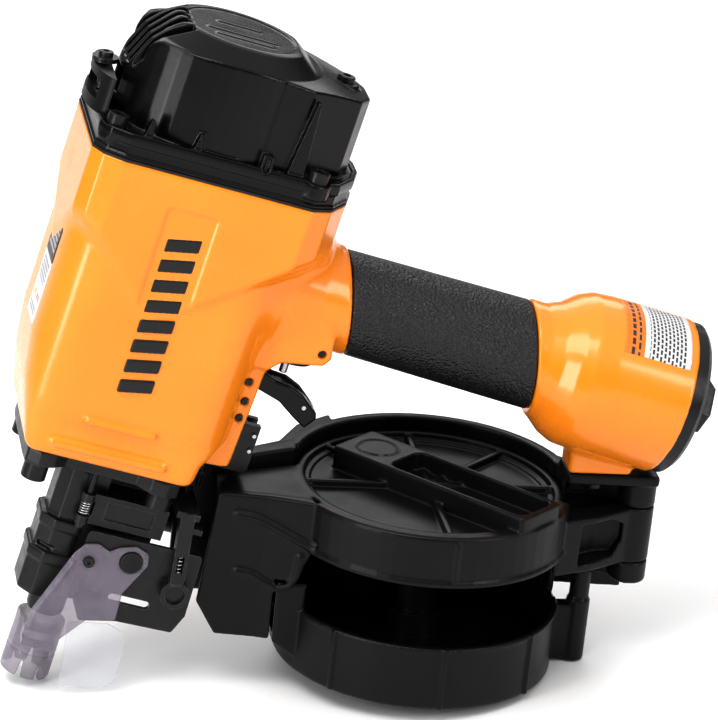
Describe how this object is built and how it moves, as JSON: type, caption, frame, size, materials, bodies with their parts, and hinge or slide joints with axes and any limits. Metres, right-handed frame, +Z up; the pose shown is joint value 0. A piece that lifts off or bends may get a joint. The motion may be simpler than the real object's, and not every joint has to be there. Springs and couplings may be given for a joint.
{
  "type": "pneumatic coil nailer",
  "caption": "Air-powered coil nail gun with a cast barrel and handle, round swing-open nail canister, sprung contact trip and rubber grip.",
  "frame": {"origin": "middle of the bounding box, on the surface that the tool stands on", "axes": "+Z up, +X from the barrel back along the handle, -Y the side that the magazine cover swings to"},
  "size_m": [0.3246, 0.1332, 0.3136],
  "materials": {
    "orange_paint": "gloss paint on a cast housing",
    "black_plastic": "satin moulded plastic",
    "black_metal": "black coated cast and pressed metal",
    "steel": "bright steel",
    "black_steel": "blackened steel fasteners",
    "grip_rubber": "pebbled moulded rubber",
    "seal_rubber": "smooth rubber",
    "aluminium": "machined aluminium",
    "smoke_plastic": "translucent grey plastic",
    "clear_plastic": "clear plastic sheet"
  },
  "bodies": {
    "tool": {"housing": "orange_paint", "cap": "black_plastic", "cap_gasket": "seal_rubber", "cap_bolts": "black_steel", "cap_top_screw": "black_steel", "exhaust_deflector": "black_plastic", "deflector_screw": "black_steel", "cylinder_sleeve": "aluminium", "sleeve_seal": "seal_rubber", "bumper": "seal_rubber", "head_valve_spring": "steel", "grip": "grip_rubber", "end_cap": "black_metal", "air_inlet": "black_steel", "trigger_pin": "black_steel", "guide_pins": "black_steel", "valve_pin": "black_steel", "trigger_valve": "black_plastic", "valve_spring": "steel", "nose": "black_metal", "nose_bolts": "black_steel", "door_pin": "black_steel", "door_spring": "steel", "trip_spring": "steel", "feed_cylinder": "black_metal", "feed_cap": "black_metal", "feed_spring": "steel", "magazine_frame": "black_plastic", "cover_hinge_pin": "black_steel", "bracket_screw": "black_steel", "frame_bolts": "black_steel", "platform_post": "black_plastic"},
    "piston": {"piston": "aluminium", "driver_blade": "steel", "piston_ring": "seal_rubber"},
    "head_valve": {"head_valve": "black_plastic"},
    "trigger": {"trigger": "black_plastic", "lever_pin": "steel"},
    "contact_lever": {"contact_lever": "black_steel"},
    "valve_stem": {"valve_stem": "steel"},
    "trip": {"trip_plate": "black_metal", "trip_sleeve": "black_metal", "detent_spring": "steel", "adjusting_rod": "black_steel", "trip_link": "black_metal", "trip_wire": "steel", "trip_tip": "smoke_plastic", "debris_shield": "clear_plastic", "tip_screw": "black_steel", "tip_stud": "black_steel"},
    "depth_dial": {"depth_dial": "black_plastic"},
    "nose_door": {"nose_door": "black_metal"},
    "feed": {"feed_piston": "aluminium", "feed_pawl": "black_steel"},
    "cover": {"magazine_cover": "black_plastic"},
    "platform": {"nail_platform": "black_plastic"}
  },
  "joints": [
    {"name": "piston_stroke", "type": "slide", "parent": "tool", "child": "piston", "axis": [-0.2952, 0, -0.9554], "range_m": [0, 0.0815]},
    {"name": "head_valve_lift", "type": "slide", "parent": "tool", "child": "head_valve", "axis": [0.2952, 0, 0.9554], "range_m": [0, 0.006], "stiffness_N_per_m": 900, "springref_m": -0.01, "deforming": ["head_valve_spring"]},
    {"name": "trigger_pull", "type": "hinge", "parent": "tool", "child": "trigger", "pos_m": [-0.05355, -0.00078, 0.15008], "axis": [0, -1, 0], "range_deg": [0, 10], "stiffness_Nm_per_rad": 0.6, "springref_deg": -8.59},
    {"name": "contact_lever_tilt", "type": "hinge", "parent": "trigger", "child": "contact_lever", "pos_m": [-0.02665, -0.00078, 0.13078], "axis": [0, 1, 0], "range_deg": [0, 5]},
    {"name": "valve_stem_travel", "type": "slide", "parent": "tool", "child": "valve_stem", "axis": [0.2952, 0, 0.9554], "range_m": [0, 0.0033], "deforming": ["valve_spring"]},
    {"name": "trip_travel", "type": "slide", "parent": "tool", "child": "trip", "axis": [0.2952, 0, 0.9554], "range_m": [0, 0.008], "stiffness_N_per_m": 1500, "springref_m": -0.03, "deforming": ["trip_spring"]},
    {"name": "depth_dial_turn", "type": "hinge", "parent": "trip", "child": "depth_dial", "pos_m": [-0.07525, -0.00078, 0.09712], "axis": [0.2952, 0, 0.9554], "continuous": true},
    {"name": "nose_door_swing", "type": "hinge", "parent": "tool", "child": "nose_door", "pos_m": [-0.1254, -0.01828, 0.09064], "axis": [-0.2952, 0, -0.9554], "range_deg": [0, 80], "stiffness_Nm_per_rad": 0.03, "springref_deg": -28.65, "deforming": ["door_spring"]},
    {"name": "feed_stroke", "type": "slide", "parent": "tool", "child": "feed", "axis": [0.9554, 0, -0.2952], "range_m": [0, 0.008], "stiffness_N_per_m": 700, "springref_m": -0.008, "deforming": ["feed_spring"]},
    {"name": "cover_swing", "type": "hinge", "parent": "tool", "child": "cover", "pos_m": [0.12833, -0.00078, 0.05854], "axis": [0.0755, 0, 0.9971], "range_deg": [0, 100]},
    {"name": "platform_height", "type": "slide", "parent": "tool", "child": "platform", "axis": [0.0755, 0, 0.9971], "range_m": [0, 0.04]}
  ],
  "couplings": [
    {"joint": "valve_stem_travel", "follows": "trigger_pull", "m_per_rad": 0.0184},
    {"joint": "contact_lever_tilt", "follows": "trip_travel", "rad_per_m": 10.5}
  ]
}
